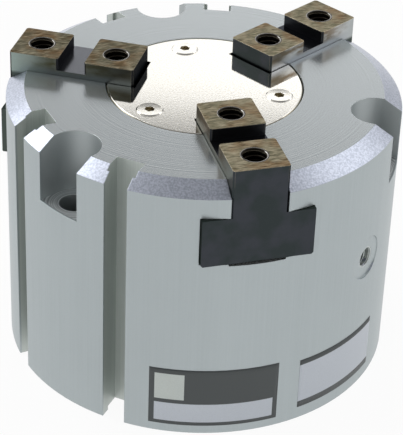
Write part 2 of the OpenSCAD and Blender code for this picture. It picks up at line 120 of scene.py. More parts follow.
# rings of uneven width round a point, from the distance to it
def addRings(tree, distance, pitch):
    turns = addNode(tree, "ShaderNodeMath", {0: distance, 1: pitch}, operation="DIVIDE")
    return addNode(tree, "ShaderNodeTexNoise", {"W": turns, "Scale": 1.0, "Detail": 1.0},
                   noise_dimensions="1D")


# tones laid over a colour one by one: a pattern, its values where the tone starts and is full, and the most
# of the tone
def addLayers(tree, colour, layers):
    for pattern, start, full, most, tone in layers:
        share = addNode(tree, "ShaderNodeMapRange", {0: pattern, 1: start, 2: full, 4: most})
        colour = addNode(tree, "ShaderNodeMix", {0: share, 1: colour, 2: tone}, data_type="RGBA")
    return colour


# the distance from a point on the level to the nearest of the three bolt axes
def addReach(tree, flat, radius):
    nearest = None
    for angle in (math.radians(boltAngle) for boltAngle in boltAngles):
        axis = (radius * math.cos(angle), radius * math.sin(angle), 0)
        reach = addNode(tree, "ShaderNodeVectorMath", {0: flat, 1: axis}, operation="DISTANCE")
        if nearest:
            reach = addNode(tree, "ShaderNodeMath", {0: nearest, 1: reach}, operation="MINIMUM")
        nearest = reach
    return nearest


# an empty material with its shader, and the coordinates that its patterns are laid on
def startMaterial(name):
    material = bpy.data.materials.new(name)
    tree = emptyTree(material)
    shader = addNode(tree, "ShaderNodeBsdfPrincipled")
    addNode(tree, "ShaderNodeOutputMaterial", {"Surface": shader})
    coordinates = addNode(tree, "ShaderNodeTexCoord").outputs
    return material, tree, shader, coordinates


bodyFinish = {
    "side": "#AFB7B9",
    "sideShade": "#A9B1B3",
    # the top, chamfer, slot and counterbore floor tones are lighter than the sides': painted light
    "top": "#C0C6C8",
    "chamfer": "#C4C9D6",
    "chamferShade": "#A6ACBA",
    "slot": "#C8CECA",
    "slotShade": "#BFC5C2",
    "pocket": "#AEB4B5",
    "pocketFloor": "#DCDFE0",
    "pocketFloorShade": "#9EA2A3",
    "metallic": 0.85,
    "sideRoughness": (0.38, 0.46),
    "insideRoughness": 0.52,
    "topRoughness": 0.24,
    "chamferRoughness": 0.32,
    "grit": 0.35 * mm,
    "chamferGrit": 0.4 * mm,
    "drawnLines": 0.35 * mm,
    "drawnLength": 31.5 * mm,
    "turnedRings": 0.5 * mm,
    "floorRings": 0.45 * mm,
    "cloud": 9 * mm,
    "pocketReach": 7.5 * mm,
    "sideDepth": 0.45 * mm,
    "reliefDepth": 0.012 * mm,
    "gritShares": (0.3, 1.1),
    "brokenEdge": 0.22 * mm,
}


# satin clear anodised aluminium: a soft grey sheen over lines drawn down the sides, rings turned in the
# top, a gritty chamfer, and the cutter's rings on the floors of the counterbores; the top, chamfer, slots
# and counterbore floors have lighter tones than the sides, which is painted light on one anodised colour
def makeAnodisedBody(values):
    material, tree, shader, coordinates = startMaterial("satinAnodisedAluminium")
    tones = toTones(values)
    place = coordinates["Object"]
    up = addNode(tree, "ShaderNodeSeparateXYZ", {0: coordinates["Normal"]}).outputs[2]
    height = addNode(tree, "ShaderNodeSeparateXYZ", {0: place}).outputs[2]
    flat = addNode(tree, "ShaderNodeVectorMath", {0: place, 1: (1, 1, 0)}, operation="MULTIPLY")
    distance = addNode(tree, "ShaderNodeVectorMath", {0: flat}, operation="LENGTH")
    nearest = addReach(tree, flat, mounts["mounting_holes"]["dims"]["pcd_mm"] * mm / 2)

    # where each surface is: the top and the floors face up, and the chamfer faces up and out
    isFlat = addNode(tree, "ShaderNodeMath", {0: up, 1: 0.95}, operation="GREATER_THAN")
    isHigh = addNode(tree, "ShaderNodeMath", {0: height, 1: bodyTop - topDepth}, operation="GREATER_THAN")
    onTop = addNode(tree, "ShaderNodeMath", {0: isFlat, 1: isHigh}, operation="MULTIPLY")
    onFloor = addNode(tree, "ShaderNodeMath", {0: isFlat, 1: onTop}, operation="SUBTRACT")
    onChamfer = addNode(tree, "ShaderNodeMath", {0: up, 1: 0.8, 2: 0.12}, operation="COMPARE")
    onSide = addNode(tree, "ShaderNodeMath", {0: distance, 1: bodyRadius - values["sideDepth"]},
                     operation="GREATER_THAN")
    inPocket = addNode(tree, "ShaderNodeMath", {0: nearest, 1: values["pocketReach"]},
                       operation="LESS_THAN")

    lines = addGrain(tree, place, values["drawnLines"],
                     stretch=(1, 1, values["drawnLength"] / values["drawnLines"]))
    lineShare = addNode(tree, "ShaderNodeMapRange", {0: lines, 1: noiseLow, 2: noiseHigh})
    cloud = addGrain(tree, place, values["cloud"])
    sideShare = addNode(tree, "ShaderNodeMath", {0: lineShare, 1: cloud}, operation="MULTIPLY")
    floorRings = addRings(tree, nearest, values["floorRings"])
    floorShare = addNode(tree, "ShaderNodeMapRange", {0: floorRings, 1: 0.35, 2: 0.6})
    sparkle = addGrain(tree, place, values["chamferGrit"], detail=1.0)
    sparkleShare = addNode(tree, "ShaderNodeMapRange", {0: sparkle, 1: 0.35, 2: 0.65})
    # the slot, floor and chamfer tones here and the top's tone below are lighter than the sides': painted
    # light
    side, colour, floor, chamfer = (
        addNode(tree, "ShaderNodeMix", {0: share, 1: tones[first], 2: tones[second]}, data_type="RGBA")
        for share, first, second in ((sideShare, "side", "sideShade"), (lineShare, "slot", "slotShade"),
                                     (floorShare, "pocketFloorShade", "pocketFloor"),
                                     (sparkleShare, "chamferShade", "chamfer")))
    for where, tone in ((inPocket, tones["pocket"]), (onFloor, floor), (onSide, side),
                        (onTop, tones["top"]), (onChamfer, chamfer)):
        colour = addNode(tree, "ShaderNodeMix", {0: where, 1: colour, 2: tone}, data_type="RGBA")
    tree.links.new(colour.outputs[2], shader.inputs["Base Color"])
    shader.inputs["Metallic"].default_value = values["metallic"]

    speck = addGrain(tree, place, values["grit"])
    smooth, dull = values["sideRoughness"]
    sideSatin = addNode(tree, "ShaderNodeMapRange", {0: speck, 1: noiseLow, 2: noiseHigh, 3: smooth,
                                                     4: dull})
    satin = values["insideRoughness"]
    for where, level in ((onSide, sideSatin), (onTop, values["topRoughness"]),
                         (onChamfer, values["chamferRoughness"])):
        satin = addNode(tree, "ShaderNodeMix", {0: where, 1: satin, 2: level})
    tree.links.new(satin.outputs[0], shader.inputs["Roughness"])

    # the real rings and lines are finer than this, which is as coarse as it takes to show them
    rings = addRings(tree, distance, values["turnedRings"])
    relief = addNode(tree, "ShaderNodeMath", {0: rings, 1: onTop}, operation="MULTIPLY")
    plainShare, chamferShare = values["gritShares"]
    gritDepth = addNode(tree, "ShaderNodeMapRange", {0: onChamfer, 3: plainShare, 4: chamferShare})
    for pattern, depth in ((floorRings, onFloor), (speck, gritDepth)):
        relief = addNode(tree, "ShaderNodeMath", {0: pattern, 1: depth, 2: relief},
                         operation="MULTIPLY_ADD")
    edge = addNode(tree, "ShaderNodeBevel", {"Radius": values["brokenEdge"]}, samples=bevelSamples)
    bump = addNode(tree, "ShaderNodeBump", {"Height": relief, "Distance": values["reliefDepth"],
                                            "Normal": edge})
    tree.links.new(bump.outputs[0], shader.inputs["Normal"])
    return material


plateFinish = {
    "steel": "#FFFDF8",
    "roughness": (0.018, 0.045),
    "grain": 0.4 * mm,
    "grainDepth": 0.004 * mm,
    "brokenEdge": 0.07 * mm,
    "stain": "#F2EEE3",
    # the socket tone darkens every face sunk below the top, in the screws' sockets and round the plate:
    # painted shade
    "socket": "#A39C8A",
    "socketDepth": 0.1 * mm,
    "screwCircle": 16.6 * mm,
    "dish": 190 * mm,
}


# polished stainless steel: a near mirror whose fine frosted grain shows where light turns to dark in it;
# the screws' heads are turned a little hollow, so each mirrors more of the room than the flat plate does
def makePolishedSteel(name, values, dished):
    material, tree, shader, coordinates = startMaterial(name)
    tones = toTones(values)
    place = coordinates["Object"]
    speck = addGrain(tree, place, values["grain"], detail=3.0, roughness=0.7)
    height = addNode(tree, "ShaderNodeSeparateXYZ", {0: place}).outputs[2]
    sunk = addNode(tree, "ShaderNodeMath", {0: height, 1: bodyTop - values["socketDepth"]},
                   operation="LESS_THAN")
    # the sunk faces take the socket tone, which is painted shade
    colour = addLayers(tree, tones["steel"], [(speck, 0.4, 0.62, 1.0, tones["stain"]),
                                              (sunk, 0.0, 1.0, 1.0, tones["socket"])])
    tree.links.new(colour.outputs[2], shader.inputs["Base Color"])
    shader.inputs["Metallic"].default_value = 1.0
    smooth, dull = values["roughness"]
    gloss = addNode(tree, "ShaderNodeMapRange", {0: speck, 1: noiseLow, 2: noiseHigh, 3: smooth, 4: dull})
    tree.links.new(gloss.outputs[0], shader.inputs["Roughness"])
    edge = addNode(tree, "ShaderNodeBevel", {"Radius": values["brokenEdge"]}, samples=bevelSamples)
    if dished:
        flat = addNode(tree, "ShaderNodeVectorMath", {0: place, 1: (1, 1, 0)}, operation="MULTIPLY")
        reach = addReach(tree, flat, values["screwCircle"])
        hollow = addNode(tree, "ShaderNodeMath", {0: reach, 1: 2.0}, operation="POWER")
        hollow = addNode(tree, "ShaderNodeMath", {0: hollow, 1: 2 * values["dish"]}, operation="DIVIDE")
        edge = addNode(tree, "ShaderNodeBump", {"Height": hollow, "Distance": 1.0, "Normal": edge})
    bump = addNode(tree, "ShaderNodeBump", {"Height": speck, "Distance": values["grainDepth"],
                                            "Normal": edge})
    tree.links.new(bump.outputs[0], shader.inputs["Normal"])
    return material


jawFinish = {
    "rust": "#976D44",
    "darkStreak": "#463C2C",
    # the light streaks' tone: painted glints on the ground streaks
    "lightStreakGlint": "#CDC3A8",
    "keyWall": "#3A3B3E",
    # the flank's dark tone inside the body's slot: painted shade
    "foot": "#4A524E",
    "hole": "#37322A",
    # a light edge tone: partly wear where handling rubbed the black away, partly a painted highlight along
    # the edges
    "wornEdgeAndHighlight": "#C9C2AE",
    "wornAndHighlightShare": 0.4,
    "streak": 0.3 * mm,
    "streakLength": 2.4 * mm,
    "sway": 2.5 * mm,
    "waviness": 1.3 * mm,
    "patch": 5 * mm,
    "smear": 1.6 * mm,
    "smearLength": 4 * mm,
    "grain": 0.3 * mm,
    "reliefDepth": 0.012 * mm,
    "roughness": (0.3, 0.42),
    "floorRoughness": 0.2,
    "wornRoughness": 0.1,
    "startTaper": 3.0 * mm,
    "startShare": 0.85,
    "lowerRange": (0.8 * mm, -0.6 * mm),
    "endRange": (-4.0 * mm, 5.0 * mm),
    "slotRange": (-0.3 * mm, -1.0 * mm),
    "grooveHalfWidth": 3.3 * mm,
    "grooveDepth": 2.8 * mm,
    "floorGap": 0.1 * mm,
    "cornerReach": 0.4 * mm,
    "openGap": 0.3 * mm,
    "holeReach": 2.75 * mm,
    "brokenEdge": 0.2 * mm,
}
# each jaw has its own tones for its top, flanks, ends and groove floor: painted light and shade for the way
# each jaw faces the light, laid on the same blackened and ground steel
eachJawFinishAndShade = {
    "jaw_front": {
        "ground": "#B8AE95", "olive": "#8D8972", "grazing": "#AAAAAB", "flank": "#8C8983",
        "flankPatch": "#655B4E", "flankStartShade": "#4A463E", "startReach": 7.0 * mm, "flankEndLight": "#898B85",
        "lowerFlankShadeAndSheen": "#84847D", "endFace": "#3E4146", "endShade": "#363C3D", "keyFloor": "#5A5C60"},
    "jaw_right": {
        "ground": "#AEA48A", "olive": "#848068", "grazing": "#C2C2C4", "flank": "#C6C7C6",
        "flankPatch": "#857867", "flankStartShade": "#645D50", "startReach": 1.0 * mm, "flankEndLight": "#AEB3B3",
        "lowerFlankShadeAndSheen": "#B0B4BA", "endFace": "#3E4146", "endShade": "#363C3D", "keyFloor": "#4A4C50"},
    "jaw_left": {
        "ground": "#948D79", "olive": "#706D5B", "grazing": "#AAAAAB", "flank": "#6A6D63",
        "flankPatch": "#54523F", "flankStartShade": "#33332E", "startReach": 7.0 * mm, "flankEndLight": "#8C9A95",
        "lowerFlankShadeAndSheen": "#5E6464", "endFace": "#26282B", "endShade": "#1F2224", "keyFloor": "#8A8C91"},
}


# hardened steel, blackened and then ground: brown streaked tops, dark ends, grey flanks, worn light edges;
# the light streaks are painted glints, the flanks carry painted shade and light, and the light edges are
# partly wear and partly a painted highlight
def makeJawSteel(values, outward, holes):
    material, tree, shader, coordinates = startMaterial("blackenedJawSteel")
    tones = toTones(values)
    place, facing = coordinates["Object"], coordinates["Normal"]
    innerHole, outerHole = holes
    floorHeight = jawTop - values["grooveDepth"]
    sideways = (-outward[1], outward[0], 0)
    up = addNode(tree, "ShaderNodeSeparateXYZ", {0: facing}).outputs[2]
    placeX, placeY, height = addNode(tree, "ShaderNodeSeparateXYZ", {0: place}).outputs
    along = addNode(tree, "ShaderNodeVectorMath", {0: place, 1: outward}, operation="DOT_PRODUCT")
    across = addNode(tree, "ShaderNodeVectorMath", {0: place, 1: sideways}, operation="DOT_PRODUCT")
    out = addNode(tree, "ShaderNodeVectorMath", {0: facing, 1: outward}, operation="DOT_PRODUCT")
    out = addNode(tree, "ShaderNodeMath", {0: out}, operation="ABSOLUTE")

    # where each surface is: the top, the key groove with its floor, the end faces and the two holes
    isFlat = addNode(tree, "ShaderNodeMath", {0: up, 1: 0.9}, operation="GREATER_THAN")
    isHigh = addNode(tree, "ShaderNodeMath", {0: height, 1: jawTop - topDepth}, operation="GREATER_THAN")
    onTop = addNode(tree, "ShaderNodeMath", {0: isFlat, 1: isHigh}, operation="MULTIPLY")
    atFloor, nearFloor = (
        addNode(tree, "ShaderNodeMath", {0: height, 1: floorHeight, 2: values[reach]}, operation="COMPARE")
        for reach in ("floorGap", "cornerReach"))
    onFloor = addNode(tree, "ShaderNodeMath", {0: isFlat, 1: atFloor}, operation="MULTIPLY")
    onEnd = addNode(tree, "ShaderNodeMath", {0: out, 1: 0.6}, operation="GREATER_THAN")
    inGroove = addNode(tree, "ShaderNodeMath", {0: along, 1: (innerHole + outerHole) / 2,
                                                2: values["grooveHalfWidth"]}, operation="COMPARE")
    level = addNode(tree, "ShaderNodeCombineXYZ", {0: along, 1: across})
    reaches = [addNode(tree, "ShaderNodeVectorMath", {0: level, 1: (hole, 0, 0)}, operation="DISTANCE")
               for hole in holes]
    nearest = addNode(tree, "ShaderNodeMath", {0: reaches[0], 1: reaches[1]}, operation="MINIMUM")
    inHole = addNode(tree, "ShaderNodeMath", {0: nearest, 1: values["holeReach"]}, operation="LESS_THAN")

    # the jaws were ground in one pass with the gripper closed, which left wavy streaks like a wood's figure
    sway = addGrain(tree, place, values["sway"])
    sway = addNode(tree, "ShaderNodeMath", {0: sway, 1: values["waviness"], 2: placeY},
                   operation="MULTIPLY_ADD")
    wheel = addNode(tree, "ShaderNodeCombineXYZ", {0: sway, 1: placeX, 2: height})
    streaks = addGrain(tree, wheel, values["streak"], detail=3.0, roughness=0.6,
                       stretch=(1, values["streakLength"] / values["streak"], 4))
    broad = addGrain(tree, wheel, values["streak"] * 3, stretch=(1, 3, 1))
    patches = addGrain(tree, place, values["patch"])
    # the light streaks laid last are painted glints
    ground = addLayers(tree, tones["olive"], [(broad, 0.38, 0.62, 1.0, tones["ground"]),
                                              (patches, 0.46, 0.66, 0.5, tones["rust"]),
                                              (streaks, 0.5, 0.66, 0.75, tones["darkStreak"]),
                                              (streaks, 0.46, 0.34, 0.7, tones["lightStreakGlint"])])

    # the flanks get painted shade towards the middle, where the jaws close in, and in the body's slot,
    # painted shade with a sheen low down, and painted light towards the outer end, and the ends have a tone
    # of their own;
    # the ranges are measured from the groove's floor, the outer hole and the body's top
    own = addNode(tree, "ShaderNodeCombineXYZ", {0: along, 1: across, 2: height})
    smears = addGrain(tree, own, values["smear"], stretch=(values["smearLength"] / values["smear"], 1, 1),
                      detail=3.0)
    middleStart, middleFull = innerHole + values["startReach"], innerHole - values["startTaper"]
    lowerStart, lowerFull = (floorHeight + offset for offset in values["lowerRange"])
    endStart, endFull = (outerHole + offset for offset in values["endRange"])
    slotStart, slotFull = (bodyTop + offset for offset in values["slotRange"])
    # the start, lower, end and slot layers are painted shade and light; the smears are the flank's own tone
    flank = addLayers(tree, tones["flank"], [
        (smears, 0.42, 0.62, 1.0, tones["flankPatch"]),
        (along, middleStart, middleFull, values["startShare"], tones["flankStartShade"]),
        (height, lowerStart, lowerFull, 1.0, tones["lowerFlankShadeAndSheen"]),
        (along, endStart, endFull, 1.0, tones["flankEndLight"]),
        (height, slotStart, slotFull, 1.0, tones["foot"])])
    end = addLayers(tree, tones["endFace"], [(patches, 0.42, 0.62, 1.0, tones["endShade"]),
                                             (inGroove, 0.0, 1.0, 1.0, tones["keyWall"])])

    # the rounded normal leaves the flat one only beside an edge, where a light tone is laid: partly wear
    # where handling has rubbed the black away, partly a painted highlight
    edge = addNode(tree, "ShaderNodeBevel", {"Radius": values["brokenEdge"]}, samples=bevelSamples)
    trueNormal = addNode(tree, "ShaderNodeNewGeometry").outputs["True Normal"]
    turned = addNode(tree, "ShaderNodeVectorMath", {0: edge, 1: trueNormal}, operation="DOT_PRODUCT")
    inTheOpen = addNode(tree, "ShaderNodeMath", {0: height, 1: bodyTop + values["openGap"]},
                        operation="GREATER_THAN")
    inCorner = addNode(tree, "ShaderNodeMath", {0: nearFloor, 1: inGroove}, operation="MULTIPLY")
    rubbedAndHighlit = addNode(tree, "ShaderNodeMath", {0: inTheOpen, 1: inCorner}, operation="SUBTRACT")
    wornAndHighlightShare = addNode(tree, "ShaderNodeMapRange", {0: turned, 1: 0.98, 2: 0.85, 4: values["wornAndHighlightShare"]})
    wornAndHighlightShare = addNode(tree, "ShaderNodeMath", {0: wornAndHighlightShare, 1: rubbedAndHighlit}, operation="MULTIPLY")

    colour = flank
    for where, tone in ((onEnd, end), (onFloor, tones["keyFloor"]), (onTop, ground),
                        (inHole, tones["hole"]), (wornAndHighlightShare, tones["wornEdgeAndHighlight"])):
        colour = addNode(tree, "ShaderNodeMix", {0: where, 1: colour, 2: tone}, data_type="RGBA")
    tree.links.new(colour.outputs[2], shader.inputs["Base Color"])
    shader.inputs["Metallic"].default_value = 1.0
    # the black film keeps the steel from mirroring the room at a glance along it
    shader.inputs["Specular Tint"].default_value = tones["grazing"]

    fine = addGrain(tree, place, values["grain"])
    smooth, dull = values["roughness"]
    satin = addNode(tree, "ShaderNodeMapRange", {0: fine, 1: noiseLow, 2: noiseHigh, 3: smooth, 4: dull})
    for where, level in ((onFloor, values["floorRoughness"]), (wornAndHighlightShare, values["wornRoughness"])):
        satin = addNode(tree, "ShaderNodeMix", {0: where, 1: satin, 2: level})
    tree.links.new(satin.outputs[0], shader.inputs["Roughness"])
    relief = addNode(tree, "ShaderNodeMath", {0: streaks, 1: onTop, 2: fine}, operation="MULTIPLY_ADD")
    rounded = addNode(tree, "ShaderNodeMix", {0: rubbedAndHighlit, 1: trueNormal, 2: edge}, data_type="VECTOR")
    bump = addNode(tree, "ShaderNodeBump", {"Height": relief, "Distance": values["reliefDepth"],
                                            "Normal": rounded})
    tree.links.new(bump.outputs[0], shader.inputs["Normal"])
    return material


# how much a plain finish's specks darken it and change its roughness, and how deep they are
speckShare = 0.2
speckDepth = 0.006 * mm


# a plain machined or moulded finish: a speckled tone with a fine skin
def makePlainFinish(name, colour, roughness, metallic, grain):
    material, tree, shader, coordinates = startMaterial(name)
    speck = addGrain(tree, coordinates["Object"], grain)
    base = toLinear(colour)
    darker = tuple(channel * (1 - speckShare) for channel in base[:3]) + (1.0,)
    tone = addNode(tree, "ShaderNodeMix", {0: speck, 1: darker, 2: base}, data_type="RGBA")
    tree.links.new(tone.outputs[2], shader.inputs["Base Color"])
    shader.inputs["Metallic"].default_value = metallic
    satin = addNode(tree, "ShaderNodeMapRange", {0: speck, 1: noiseLow, 2: noiseHigh,
                                                 3: roughness * (1 - speckShare),
                                                 4: roughness * (1 + speckShare)})
    tree.links.new(satin.outputs[0], shader.inputs["Roughness"])
    bump = addNode(tree, "ShaderNodeBump", {"Height": speck, "Distance": speckDepth})
    tree.links.new(bump.outputs[0], shader.inputs["Normal"])
    return material


threadFinish = {
    "thread": "#2E2A25",
    # the lip's light tone, laid on one side only: a painted highlight
    "lip": "#B4B1AC",
    "roughness": 0.35,
    "lipRoughness": 0.3,
    "grain": 0.3 * mm,
    "lipDepths": (0.55 * mm, 0.35 * mm),
    # the way that the side of the lip with the painted highlight faces
    "highlightWay": (-0.4, 0.92, 0),
}


# a thread tapped before the steel was blackened: dark turns, and a lip with a painted highlight, light on
# the side that faces the given way
def makeThreadSteel(values):
    material, tree, shader, coordinates = startMaterial("cutJawThread")
    tones = toTones(values)
    height = addNode(tree, "ShaderNodeSeparateXYZ", {0: coordinates["Object"]}).outputs[2]
    start, full = (jawTop - depth for depth in values["lipDepths"])
    onLip = addNode(tree, "ShaderNodeMapRange", {0: height, 1: start, 2: full})
    # the lip is light on one side only by colour: a painted highlight
    facing = addNode(tree, "ShaderNodeVectorMath", {0: coordinates["Normal"], 1: values["highlightWay"]},
                     operation="DOT_PRODUCT")
    highlightSide = addNode(tree, "ShaderNodeMapRange", {0: facing, 1: 0.0, 2: 0.1})
    fine = addGrain(tree, coordinates["Object"], values["grain"])
    fineShare = addNode(tree, "ShaderNodeMapRange", {0: fine, 1: noiseLow, 2: 0.5, 3: 0.6})
    lipHighlightShare = onLip
    for share in (highlightSide, fineShare):
        lipHighlightShare = addNode(tree, "ShaderNodeMath", {0: lipHighlightShare, 1: share}, operation="MULTIPLY")
    tone = addNode(tree, "ShaderNodeMix", {0: lipHighlightShare, 1: tones["thread"], 2: tones["lip"]},
                   data_type="RGBA")
    tree.links.new(tone.outputs[2], shader.inputs["Base Color"])
    shader.inputs["Metallic"].default_value = 1.0
    satin = addNode(tree, "ShaderNodeMix", {0: onLip, 1: values["roughness"], 2: values["lipRoughness"]})
    tree.links.new(satin.outputs[0], shader.inputs["Roughness"])
    return material


def dressNode(name, material):
    mesh = frame["nodes"][name].data
    mesh.materials.clear()
    mesh.materials.append(material)


dressNode("body", makeAnodisedBody(bodyFinish))
dressNode("cover_plate", makePolishedSteel("polishedStainless", plateFinish, False))
dressNode("cover_screws", makePolishedSteel("polishedScrewSteel", plateFinish, True))
for nodeName in jawBodies:
    inner, outer = (Vector(mounts[nodeName + ending]["pos_m"])
                    for ending in ("_inner_thread", "_outer_thread"))
    outward = (outer * Vector((1, 1, 0))).normalized()
    dressNode(nodeName, makeJawSteel({**jawFinish, **eachJawFinishAndShade[nodeName]}, tuple(outward),
                                     [inner.dot(outward), outer.dot(outward)]))

# for each finish its colour, roughness, metallic and grain size, and the pieces that have it
plainFinishes = {
    "anodisedCap": ("#AEB6B8", 0.42, 0.85, 0.35 * mm, ["end_cap", "piston"]),
    "phosphatedSpringSteel": ("#3A3836", 0.5, 1.0, 0.3 * mm, ["retaining_ring"]),
    "machinedBronze": ("#B88A4E", 0.35, 1.0, 0.4 * mm, ["rod_bush"]),
    "mouldedNitrile": ("#1E1E1E", 0.6, 0.0, 0.5 * mm, ["cap_oring", "rod_seal", "upper_bumper",
                                                       "lower_bumper", "piston_seal", "rod_oring"]),
    "filledWearPlastic": ("#8A6A48", 0.5, 0.0, 0.5 * mm, ["wear_ring"]),
    "bondedMagnet": ("#2E2B2A", 0.55, 0.0, 0.4 * mm, ["magnet_ring"]),
    "hardChromedRod": ("#DADADC", 0.1, 1.0, 0.3 * mm, ["piston_rod"]),
    "zincPlatedSteel": ("#B9B9B4", 0.3, 1.0, 0.3 * mm, ["piston_nut"]),
    "groundCamSteel": ("#8C8C8E", 0.25, 1.0, 0.3 * mm, ["wedge_cam"]),
    "blackOxideSteel": ("#2B2B2D", 0.4, 1.0, 0.3 * mm, ["cam_screw"]),
}
for finishName, (colour, roughness, metallic, grain, nodeNames) in plainFinishes.items():
    finish = makePlainFinish(finishName, colour, roughness, metallic, grain)
    for nodeName in nodeNames:
        dressNode(nodeName, finish)
print("finishes made for", len(frame["nodes"]), "nodes")


def addPiece(name, mesh, body):
    piece = addObject(name, mesh)
    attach(piece, body)


# steps in one turn of a ridge, sides of its section, and steps round a lip
turnSteps, ridgeSides, lipSteps = 24, 4, 48
# the lip's section, in lead-ins from the core hole's rim
lipSection = ((0.94, 0.96, 0), (0.12, 0.84, 0), (0.16, 0.3, 0), (1.0, 0.8, 0))


# one tree stands a helical ridge and a lip in each hole: its points are the ridges' starts, and their axes
# point inwards
def makeThreadTree():
    tree = bpy.data.node_groups.new("threadRidges", "GeometryNodeTree")
    sockets = (("Geometry", "NodeSocketGeometry", "INPUT"), ("Core radius", "NodeSocketFloat", "INPUT"),
               ("Pitch", "NodeSocketFloat", "INPUT"), ("Length", "NodeSocketFloat", "INPUT"),
               ("Ridge", "NodeSocketFloat", "INPUT"), ("Lead-in", "NodeSocketFloat", "INPUT"),
               ("Material", "NodeSocketMaterial", "INPUT"),
               ("Geometry", "NodeSocketGeometry", "OUTPUT"))
    for name, kind, side in sockets:
        tree.interface.new_socket(name, in_out=side, socket_type=kind)
    given = addNode(tree, "NodeGroupInput").outputs
    turns = addNode(tree, "ShaderNodeMath", {0: given["Length"], 1: given["Pitch"]}, operation="DIVIDE")
    helix = addNode(tree, "GeometryNodeCurveSpiral", {
        "Resolution": turnSteps, "Rotations": turns, "Start Radius": given["Core radius"],
        "End Radius": given["Core radius"], "Height": given["Length"]})
    upright = addNode(tree, "GeometryNodeSetCurveNormal", {"Curve": helix}, mode="Z_UP")
    profile = addNode(tree, "GeometryNodeCurvePrimitiveCircle", {"Resolution": ridgeSides,
                                                                 "Radius": given["Ridge"]})
    ridge = addNode(tree, "GeometryNodeCurveToMesh", {"Curve": upright, "Profile Curve": profile,
                                                      "Fill Caps": True})
    section = addNode(tree, "GeometryNodeCurvePrimitiveQuadrilateral",
                      {"Point %d" % (i + 1): point for i, point in enumerate(lipSection)}, mode="POINTS")
    leadSize = addNode(tree, "ShaderNodeCombineXYZ", {0: given["Lead-in"], 1: given["Lead-in"], 2: 1.0})
    section = addNode(tree, "GeometryNodeTransform", {"Geometry": section, "Scale": leadSize})
    mouth = addNode(tree, "GeometryNodeCurvePrimitiveCircle", {"Resolution": lipSteps,
                                                               "Radius": given["Core radius"]})
    mouth = addNode(tree, "GeometryNodeSetCurveNormal", {"Curve": mouth}, mode="Z_UP")
    lip = addNode(tree, "GeometryNodeCurveToMesh", {"Curve": mouth, "Profile Curve": section})
    rise = addNode(tree, "ShaderNodeMath", {0: given["Pitch"], 1: -0.5}, operation="MULTIPLY")
    lifted = addNode(tree, "ShaderNodeCombineXYZ", {2: rise})
    lip = addNode(tree, "GeometryNodeTransform", {"Geometry": lip, "Translation": lifted})
    both = addNode(tree, "GeometryNodeJoinGeometry", {0: ridge})
    tree.links.new(lip.outputs[0], both.inputs[0])
    axis = addNode(tree, "GeometryNodeInputNamedAttribute", {"Name": "axis"}, data_type="FLOAT_VECTOR")
    turned = addNode(tree, "FunctionNodeAlignRotationToVector", {"Vector": axis}, axis="Z")
    placed = addNode(tree, "GeometryNodeInstanceOnPoints", {"Points": given["Geometry"], "Instance": both,
                                                            "Rotation": turned})
    solid = addNode(tree, "GeometryNodeRealizeInstances", {"Geometry": placed})
    painted = addNode(tree, "GeometryNodeSetMaterial", {"Geometry": solid, "Material": given["Material"]})
    addNode(tree, "NodeGroupOutput", {0: painted})
    return tree


# the helix is shorter than its hole by runOut, ridge is its section's radius and leadIn the lip's size
threadValues = {
    "finger": {"pitch": 1.0 * mm, "runOut": 0.4 * mm, "ridge": 0.32 * mm, "leadIn": 0.5 * mm},
    "port": {"pitch": 0.8 * mm, "runOut": 1.2 * mm, "ridge": 0.26 * mm, "leadIn": 0.4 * mm},
}


# the threads of the named mounts as one piece; gives back its number of faces
def makeThreads(name, tree, body, mountNames, values, material):
    places = [mounts[mountName] for mountName in mountNames]
    axes = [-Vector(place["axis"]) for place in places]
    starts = [Vector(place["pos_m"]) + axis * values["pitch"] / 2 for place, axis in zip(places, axes)]
    mesh = bpy.data.meshes.new(name)
    mesh.from_pydata(starts, [], [])
    attribute = mesh.attributes.new("axis", "FLOAT_VECTOR", "POINT")
    for i, axis in enumerate(axes):
        attribute.data[i].vector = axis
    holder = addObject(name + "_points", mesh)
    modifier = holder.modifiers.new("threads", "NODES")
    modifier.node_group = tree
    dims = places[0]["dims"]
    inputs = {"Core radius": dims["r_mm"] * mm, "Pitch": values["pitch"], "Ridge": values["ridge"],
              "Length": dims["length_mm"] * mm - values["runOut"], "Lead-in": values["leadIn"],
              "Material": material}
    for item in tree.interface.items_tree:
        if item.in_out == "INPUT" and item.name in inputs:
            modifier[item.identifier] = inputs[item.name]
    graph = bpy.context.evaluated_depsgraph_get()
    solid = bpy.data.meshes.new_from_object(holder.evaluated_get(graph), depsgraph=graph)
    solid.name = name
    bpy.data.objects.remove(holder)
    addPiece(name, solid, body)
    return len(solid.polygons)


# colour, roughness, metallic and grain size of the ports' bright threads
portThreadFinish = ("#C4CAC9", 0.3, 1.0, 0.3 * mm)

threadTree = makeThreadTree()
jawThread = makeThreadSteel(threadFinish)
faceCount = 0
for nodeName, bodyName in jawBodies.items():
    holes = [nodeName + "_inner_thread", nodeName + "_outer_thread"]
    faceCount += makeThreads(nodeName + "_threads", threadTree, bodyName, holes,
                             threadValues["finger"], jawThread)
faceCount += makeThreads("port_threads", threadTree, "housing",
                         ["upper_air_port", "lower_air_port"], threadValues["port"],
                         makePlainFinish("cutPortThread", *portThreadFinish))
print("threads made,", faceCount, "faces")

# places are in degrees round the axis and metres up, and fields in millimetres from the lower left corner,
# each with its place in labelFinishes; the second label's field runs off both ends
labelValues = {
    "typeLabel": {"from": 240.8, "to": 278.3, "low": 2.2 * mm, "high": 16.9 * mm,
                  "fields": [(1.2, 0.9, 27.1, 5.7, 1), (1.2, 6.7, 7.6, 13.4, 2)]},
    "markLabel": {"from": 285.3, "to": 317.0, "low": 3.1 * mm, "high": 15.8 * mm,
                  "fields": [(-1.0, 1.6, 99.0, 11.4, 1)]},
}
